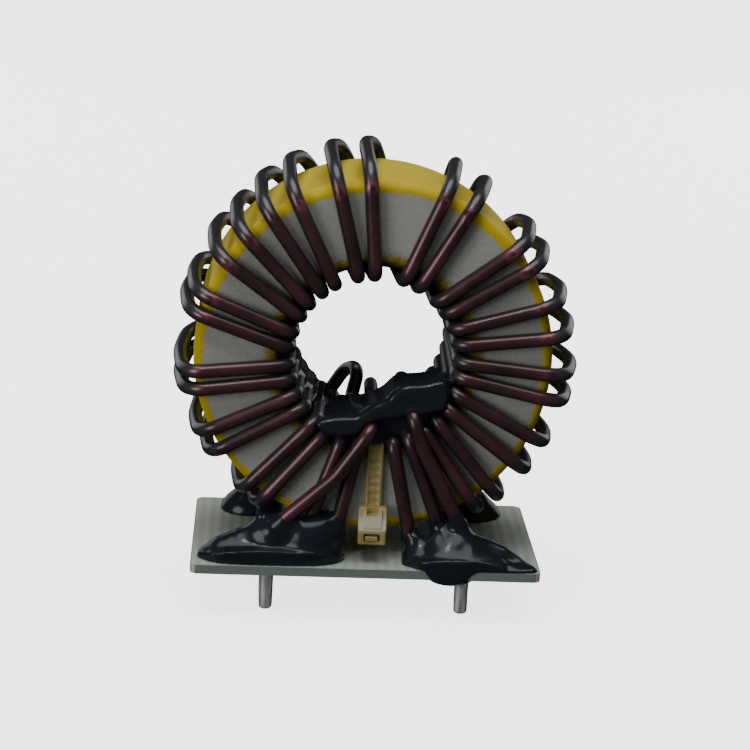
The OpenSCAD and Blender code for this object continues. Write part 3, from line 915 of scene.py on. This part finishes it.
def tie_head(p):
    body = block(p, (-head_w / 2, head_front, head_foot),
                 (head_w / 2, -strap_half - 0.2, head_top), round_by=0.28)
    front = leaning(p, slope=0.62, inset=0.25) / 1.18
    body = np.maximum(body, np.minimum(front, p[..., 2] - shelf_z + 0.6))
    cheek = block(p, (-1.25, head_front + 0.1, shelf_z - 0.2),
                  (1.25, -strap_half, head_top - 0.25), round_by=0.15)
    cheek = np.maximum(cheek, leaning(p, slope=0.5, inset=0.12) / 1.12)
    mouth = block(p, (-0.75, head_front - 1, head_top - 1.0),
                  (0.75, head_front + 1.7, head_top + 1), round_by=0.1)
    window = block(p, (-1.05, head_front - 1, head_foot + 0.42),
                   (1.05, head_front + 0.8, head_foot + 1.5), round_by=0.1)
    tail = block(p, (-0.9, head_front - 0.1, head_foot + 0.5),
                 (0.8, head_front + 1.2, head_foot + 1.2), round_by=0.12)
    body = np.maximum(np.maximum(np.minimum(body, cheek), -mouth), -window)
    return np.minimum(body, tail)


verts, faces = net(tie_head, (-2.2, head_front - 0.5, head_foot - 0.4),
                   (2.2, -strap_half + 0.3, head_top + 0.4), head_cell)
head = new_object("tie_head", tie_place(verts), faces, nylon)
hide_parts("cable_tie")
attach(head, "root")
print("head faces:", len(faces))

# %% [markdown]
# ## Adhesive
# The adhesive was squeezed on soft and set as it sagged: it pools, runs into
# points and climbs every wire it touches. The front drops are a skirt with a
# steep wall on the board, a crest that changes height from end to end, and
# sleeves that creep up the wires they hold. The rear drops are plainer lumps.

# %% Adhesive finish
def adhesive_finish():
    material, tree, shader = new_material("adhesive")
    place = object_place(tree)
    slow, fine = noise(tree, place, 220.0, 2.0), noise(tree, place, 700.0, 2.0)
    feed_all(tree, shader,
             Base_Color=tint(tree, slow, (0.0085, 0.0100, 0.0146), (0.0130, 0.0153, 0.0216)),
             Roughness=spread(tree, slow, 0.13, 0.25), Normal=bumps(tree, fine, 0.08, 0.0002),
             Specular_IOR_Level=0.26)
    return material


adhesive = adhesive_finish()
adhesive_cell = 0.22
board_w, board_d = 46.0, 28.0
board_sink, board_inset = 0.03, 0.02


def off_the_board(p):
    """Positive outside the board's body, so that a drop lies on it and over its edge."""
    half = (board_w / 2 - board_inset, board_d / 2 - board_inset, board_t / 2)
    q = np.abs(p - (0, 0, board_t / 2 - board_sink)) - half
    return np.linalg.norm(np.maximum(q, 0), axis=-1) + np.minimum(q.max(axis=-1), 0)


def on_the_board(shape, p):
    return np.maximum(shape, -off_the_board(p))


def drop_piece(name, node, field, low, high):
    verts, faces = net(field, low, high, adhesive_cell)
    piece = new_object(name, verts, faces, adhesive)
    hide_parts(node)
    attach(piece, "root")
    print(name, "faces:", len(faces))


# %% Outlines and sleeves
cut_rounds, sleeve_stride = 2, 3
wall_flare = 0.9


def cut_corners(points):
    p = as_array(points)
    for _ in range(cut_rounds):
        q = np.roll(p, -1, axis=0)
        p = np.stack([0.75 * p + 0.25 * q, 0.25 * p + 0.75 * q], axis=1).reshape(-1, 2)
    return p


def outline(u, v, corners):
    """Distance to a closed outline in a plane, negative inside it."""
    best, inside = np.full(u.shape, 1e3), np.zeros(u.shape, dtype=bool)
    for (au, av), (bu, bv) in zip(corners, np.roll(corners, -1, axis=0)):
        eu, ev = bu - au, bv - av
        t = np.clip(((u - au) * eu + (v - av) * ev) / (eu * eu + ev * ev), 0, 1)
        best = np.minimum(best, np.hypot(u - au - t * eu, v - av - t * ev))
        inside ^= ((av > v) != (bv > v)) & (u < au + (v - av) * eu / (ev if ev else 1e-9))
    return np.where(inside, -best, best)


def nearest(path, x, y, z):
    return int(np.argmin(np.linalg.norm(path - (x, y, z), axis=1)))


def skirt(p, corners, wall_top, lean):
    """A low wall round an outline, which leans in as it rises to the height given."""
    z = p[..., 2]
    wall = outline(p[..., 0], p[..., 1], corners) + lean * np.clip(wall_top - z, 0, 4)
    return np.maximum(wall, wall_flare * (z - wall_top))


def arch(x, middle, half_width):
    """One over the middle, and nothing from half a width away."""
    return np.clip(1 - ((x - middle) / half_width) ** 2, 0, 1)


def along_wire(path, start, end, swells):
    """A sleeve round a stretch of wire, as much thicker than the wire as swells say."""
    stretch = path[start:end:sleeve_stride if start < end else -sleeve_stride]
    swell = np.interp(np.linspace(0, 1, len(stretch)), np.linspace(0, 1, len(swells)), swells)
    return [(*q, wire_r + w) for q, w in zip(stretch, swell)]


# %% Front left drop
left_skirt = cut_corners([
    (-22.2, -11.0), (-20.2, -13.5), (-16.4, -14.1), (-9.9, -14.1), (-5.2, -13.5),
    (-2.6, -11.2), (-2.7, -7.6), (-6.0, -6.2), (-14.0, -6.2), (-20.5, -8.6)])
left_crest = [(-21.6, -10.7, 1.2, 0.3), (-20.9, -10.5, 1.5, 0.8), (-18.9, -10.2, 2.2, 1.7),
              (-16.4, -9.9, 2.9, 2.1), (-14.6, -9.9, 3.7, 2.0), (-12.8, -9.9, 4.3, 2.2),
              (-10.8, -9.9, 4.9, 2.5), (-8.6, -9.9, 4.9, 2.7), (-6.0, -9.8, 5.3, 2.4),
              (-5.2, -9.7, 3.2, 2.1)]
left_horn = [(-14.2, -9.7, 4.0, 1.2), (-13.9, -9.9, 6.6, 0.55), (-14.2, -10.2, 8.0, 0.45)]
left_climbs = [along_wire(path_b, len(path_b) - 4, nearest(path_b, -9.6, -11.9, 8.4),
                          (0.9, 0.8, 0.65, 0.2, -0.1)),
               along_wire(path_a, nearest(path_a, -4.2, -10.2, 4.6),
                          nearest(path_a, -4.6, -10.2, 8.2), (0.5, 0.35, 0.0, -0.15))]


def front_left(p):
    wall_top = 1.35 + 2.0 * np.sqrt(arch(p[..., 0], -12.6, 9.6))
    parts = [skirt(p, left_skirt, wall_top, lean=0.22), rod(p, left_crest),
             rod(p, left_horn), blob(p, (-7.4, -10.6, 4.2), (3.2, 2.6, 2.6))]
    parts += [rod(p, climb) for climb in left_climbs]
    return on_the_board(flowed(parts, width=1.5), p)


drop_piece("adhesive_drop_front_left", "adhesive_front_left", front_left,
           (-22.6, -14.6, 0.9), (-1.5, -4.5, 9.4))

# %% Front right drop
right_skirt = cut_corners([
    (5.3, -10.4), (5.7, -12.8), (7.0, -14.1), (8.2, -14.7), (12.8, -14.75), (14.4, -14.2),
    (19.5, -13.8), (22.6, -13.3), (19.6, -10.4), (16.5, -7.6), (9.0, -6.6), (6.3, -8.2)])
right_rods = [
    [(6.2, -10.6, 2.2, 1.2), (7.6, -10.5, 2.9, 1.2), (9.2, -10.3, 3.4, 1.4),
     (10.4, -10.2, 3.4, 1.5), (11.8, -10.2, 4.0, 2.0), (13.8, -10.2, 3.5, 1.8),
     (16.2, -10.3, 3.1, 1.5), (18.0, -10.6, 2.6, 1.3), (19.8, -11.2, 1.9, 0.9),
     (21.2, -12.2, 1.4, 0.5), (22.3, -13.0, 1.15, 0.25)],
    [(13.8, -12.0, 2.2, 1.5), (16.8, -12.6, 1.8, 0.9), (19.6, -13.1, 1.2, 0.45),
     (21.6, -13.3, 1.0, 0.2)],
    [(6.6, -10.4, 2.6, 1.0), (6.3, -10.2, 4.4, 0.9)],
    [(9.4, -10.2, 3.4, 0.9), (9.8, -10.0, 5.4, 0.9)],
    [(7.0, -11.6, 1.6, 0.9), (5.5, -11.6, 1.25, 0.45)]]
right_climbs = [along_wire(path_a, len(path_a) - 4, nearest(path_a, 10.8, -10.6, 9.2),
                           (0.6, 0.6, 0.5, 0.3, -0.1)),
                along_wire(path_b, nearest(path_b, 6.6, -9.6, 4.3),
                           nearest(path_b, 5.9, -10.2, 6.4), (0.4, 0.3, -0.15)),
                along_wire(path_a, nearest(path_a, 10.0, -9.0, 5.6),
                           nearest(path_a, 9.2, -10.2, 8.0), (0.2, 0.1, -0.15))]


def front_right(p):
    """Its wall runs down over the board's front edge in the middle of the drop."""
    x, z = p[..., 0], p[..., 2]
    wall_top = 1.25 + 1.6 * np.sqrt(arch(x, 11.2, 7.2))
    wall_foot = 1.15 - 1.65 * arch(x, 10.9, 4.6) ** 1.2
    wall = np.maximum(skirt(p, right_skirt, wall_top, lean=0.2), 0.7 * (wall_foot - z))
    parts = [wall, blob(p, (11.4, -10.8, 1.8), (4.4, 3.2, 3.5))]
    parts += [rod(p, points) for points in right_rods]
    climbs = [rod(p, climb) for climb in right_climbs]
    return on_the_board(flowed([flowed(parts, width=1.4)] + climbs, width=0.7), p)


drop_piece("adhesive_drop_front_right", "adhesive_front_right", front_right,
           (4.6, -15.0, -1.3), (22.7, -5.0, 8.6))

# %% Rear drops
def rear_drop(centre, radii, climbs):
    def field(p):
        parts = [blob(p, centre, radii)] + [rod(p, climb) for climb in climbs]
        return on_the_board(flowed(parts, width=2.2), p)
    return field


rear_left = rear_drop((-15.4, 9.6, 1.0), (4.2, 3.7, 3.2),
                      [[(-13.2, 9.6, 2.2, 2.2), (-13.0, 9.7, 5.2, 1.1)],
                       [(-15.4, 9.8, 2.2, 1.9), (-15.2, 9.9, 4.4, 1.0)]])
rear_right = rear_drop((15.2, 9.8, 1.0), (4.7, 3.9, 3.0),
                       [[(13.2, 9.6, 2.2, 2.2), (13.0, 9.6, 5.2, 1.1)],
                        [(15.6, 9.7, 1.8, 1.8), (16.2, 9.8, 3.9, 0.9)]])
drop_piece("adhesive_drop_rear_left", "adhesive_rear_left", rear_left,
           (-20.4, 4.4, 0.9), (-8.5, 13.9, 7.4))
drop_piece("adhesive_drop_rear_right", "adhesive_rear_right", rear_right,
           (8.5, 4.4, 0.9), (20.6, 13.9, 7.4))

# %% [markdown]
# ## Adhesive in the bore
# The largest lump lies on the floor of the bore and grips the tie and the inner
# runs of wire. Its surface rises and falls as one goes round and along the bore,
# so a small table of radii, by angle and depth, draws it better than blobs. In
# front it swells over the rim and hangs down as an apron over the ends of the
# lines; an outline drawn in the plane of the face gives the apron its edge, and
# its front is fullest a little inside that edge. The two are blended as before.

# %% Surface of the pool
pool_turns = [-47, -41, -33, -26, -17, -8, 0, 8, 18, 25, 32, 40, 48, 58, 66, 74, 79, 84]
pool_front = -9.6
pool_reach = {
    pool_front: [11.4, 11.0, 9.7, 8.9, 8.1, 7.2, 6.8, 6.5, 6.3, 5.6, 5.4, 5.5, 5.7, 6.8, 7.9, 9.2,
                 10.4, 11.6],
    2.0: [11.4, 11.2, 10.3, 9.5, 8.45, 8.15, 7.75, 7.35, 6.85, 6.45, 6.2, 6.4, 7.2, 8.75, 10.1,
          11.1, 11.4, 11.4],
    8.6: [11.4, 11.4, 11.0, 10.8, 10.4, 10.1, 9.9, 9.7, 9.2, 8.9, 8.6, 9.1, 10.0, 10.9, 11.4, 11.4,
          11.4, 11.4]}
pool_foot, pool_left, pool_right, end_slope = 11.95, -38, 81, 0.15
body_y, body_half, lip_y, lip_half, lip_height = -0.1, 9.1, -0.5, 9.5, 1.3


def pool_slab(p):
    """Fills the floor of the bore up to a radius that changes round it and along it."""
    x, y, z = p[..., 0], p[..., 1], p[..., 2] - core_z
    r, turned = np.hypot(x, z), np.degrees(np.arctan2(x, -z))
    reach_at = {place: np.interp(turned, pool_turns, pool_reach[place]) for place in pool_reach}
    places = sorted(pool_reach)
    top = reach_at[pool_front]
    for start, end in zip(places[:-1], places[1:]):
        f = np.clip((y - start) / (end - start), 0, 1)
        top = top + f * f * (3 - 2 * f) * (reach_at[end] - reach_at[start])
    top = top + 0.5 * np.clip(pool_front - y, 0, 2) ** 2
    body = np.maximum(r - pool_foot, np.abs(y - body_y) - body_half)
    lip = np.maximum(r - top - lip_height, np.abs(y - lip_y) - lip_half)
    left_end = pool_left - turned - np.clip(y + 6, 0, 4) * 2.2
    right_end = turned - pool_right - np.clip(y + 9, 0, 4)
    ends = end_slope * np.maximum(left_end, right_end)
    return np.maximum(np.maximum(top - r, ends), np.minimum(body, lip))


# %% Apron in front of the pool
apron_corners = cut_corners([
    (-7.6, -8.1), (-6.2, -7.5), (-5.1, -7.25), (-4.1, -7.15), (-1.9, -7.05), (-1.0, -6.3),
    (-0.3, -5.75), (1.8, -4.75), (2.2, -4.1), (3.0, -3.35), (4.3, -2.65), (6.5, -2.6), (8.0, -2.1),
    (9.3, -1.9), (10.0, -3.2), (9.9, -5.3), (9.3, -6.3), (8.0, -6.5), (6.6, -6.9), (5.4, -6.6),
    (4.3, -6.9), (3.7, -7.4), (2.4, -7.5), (0.8, -7.7), (-0.4, -8.3), (-1.2, -9.3), (-2.2, -9.9),
    (-4.2, -10.1), (-6.0, -9.85), (-6.9, -9.2)])
apron_rim, apron_belly, apron_rear = -10.3, 1.2, -4.6
round_over, thinning, front_slope = 0.75, 0.5, 0.09


def pool_apron(p):
    """Hangs over the front ends of the wires and thins out backwards over the slab."""
    y, z = p[..., 1], p[..., 2] - core_z
    edge = outline(p[..., 0], z, apron_corners)
    inset = np.clip(-edge / round_over, 0, 1)
    edge = edge + thinning * np.clip(y - apron_rim, 0, 6)
    front = apron_rim - apron_belly * np.sqrt(1 - (1 - inset) ** 2) + front_slope * (z + 6)
    return np.maximum(np.maximum(edge, 0.6 * (front - y)), y - apron_rear)


# %% Pool in the bore
bend_a = nearest(path_a, 5.2, -12.0, core_z - 6.6)
bend_b = nearest(path_b, 0.1, -12.0, core_z - 8.7)
rear_bend_a = nearest(path_a, 4.8, 11.5, core_z - 7.6)
pool_gap = 0.02
pool_sleeves = [along_wire(path_a, bend_a - 14, bend_a - 1, (0.1, 0.3, 0.25, -0.1)),
                along_wire(path_b, bend_b - 12, bend_b - 1, (0.1, 0.2, -0.1)),
                along_wire(path_a, rear_bend_a - 4, rear_bend_a + 22, (0.0, 0.22, 0.2, 0.0))]

for n in (3, 4, 5, 6):
    strand = path_b if n % 2 else path_a
    rear_end = nearest(strand, *rear_corner(n)[:3])
    pool_sleeves.append(along_wire(strand, rear_end - 4, rear_end + 32,
                                   (-0.12, 0.26, 0.2, 0.13, 0.18, -0.12)))


def pool(p):
    parts = [pool_slab(p), pool_apron(p)] + [rod(p, sleeve) for sleeve in pool_sleeves]
    gap, _ = core_clearance(p.reshape(-1, 3))
    return np.maximum(flowed(parts, width=0.9), pool_gap - gap.reshape(p.shape[:-1]))


drop_piece("adhesive_pool", "adhesive_bore", pool,
           (-11.9, -13.6, core_z - 12.6), (11.8, 13.4, core_z + 0.5))
